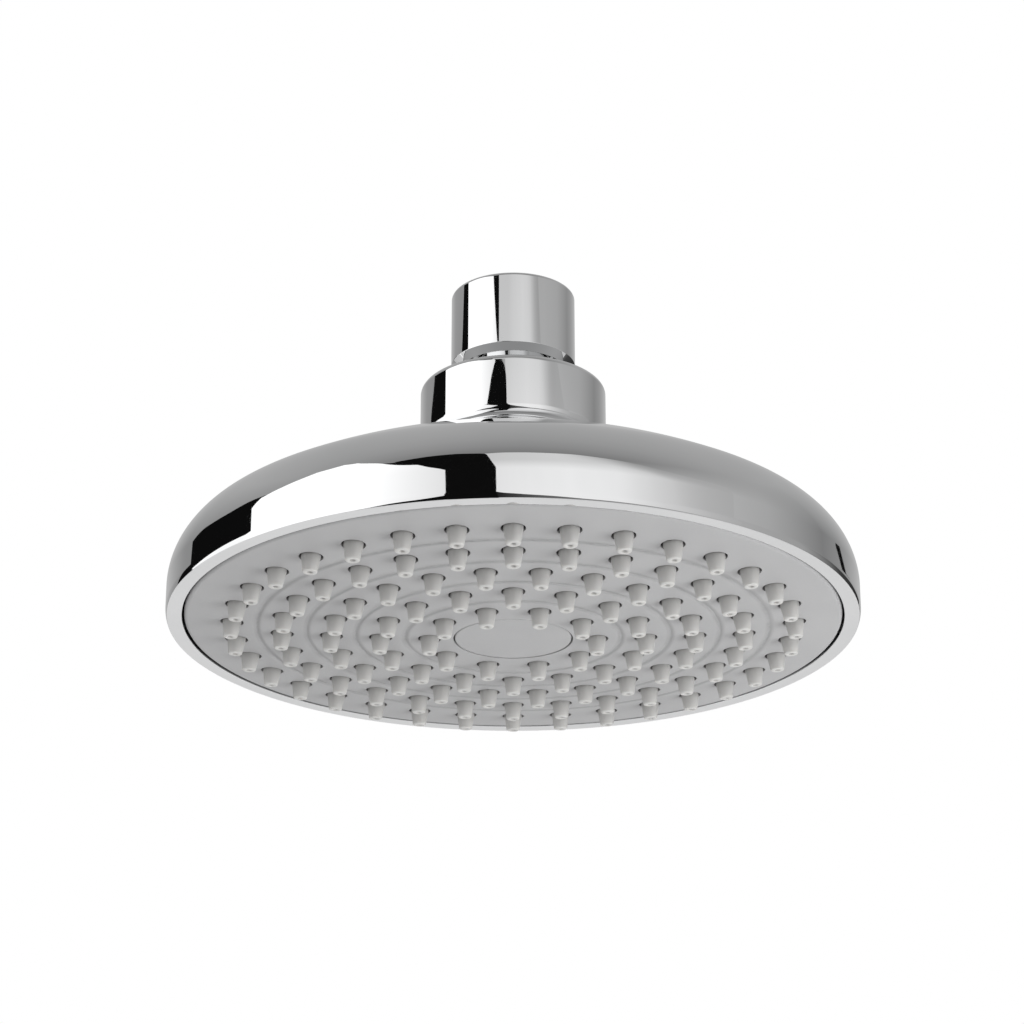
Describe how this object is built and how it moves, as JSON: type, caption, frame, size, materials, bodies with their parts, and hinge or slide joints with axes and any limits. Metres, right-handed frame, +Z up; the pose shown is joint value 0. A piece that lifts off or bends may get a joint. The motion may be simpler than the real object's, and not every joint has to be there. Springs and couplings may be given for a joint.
{
  "type": "shower head",
  "caption": "Round overhead shower head with a chrome dome, a convex grey spray face of soft nozzles in rings, and a ball joint under a threaded inlet nut.",
  "frame": {"origin": "centre of the inlet nut's mouth, where the pipe end goes in", "axes": "+Z up along the pipe and the head's own axis; -Z is the way the water falls; X is the tilt axis of the ball joint at rest"},
  "size_m": [0.1394, 0.1394, 0.0792],
  "materials": {
    "chrome": "polished chrome plating",
    "face_grey": "satin grey moulded plastic",
    "pale_silicone": "milky soft silicone",
    "steel": "plain stainless steel",
    "brass": "turned brass",
    "black_rubber": "black seal rubber",
    "white_plastic": "white bearing plastic",
    "inner_plastic": "dark moulded plastic"
  },
  "bodies": {
    "inlet": {"inlet_nut": "chrome"},
    "swivel": {"swivel_ball": "chrome", "retaining_clip": "steel", "inlet_washer": "black_rubber", "strainer": "steel", "flow_regulator": "white_plastic", "regulator_ring": "black_rubber"},
    "head": {"collar_nut": "chrome", "ball_seat_ring": "white_plastic", "ball_seal": "black_rubber", "dome_shell": "chrome", "distributor": "inner_plastic", "distributor_screws": "steel", "rim_seal": "black_rubber", "nozzle_mat": "pale_silicone", "face_plate": "face_grey", "screw_insert": "brass", "screw_seal": "black_rubber", "centre_screw": "steel", "centre_cap": "face_grey"}
  },
  "joints": [
    {"name": "stem_turn", "type": "hinge", "parent": "inlet", "child": "swivel", "pos_m": [0, 0, -0.0173], "axis": [0, 0, 1], "continuous": true},
    {"name": "ball_tilt", "type": "hinge", "parent": "swivel", "child": "head", "pos_m": [0, 0, -0.0285], "axis": [1, 0, 0], "range_deg": [-15, 15]}
  ]
}
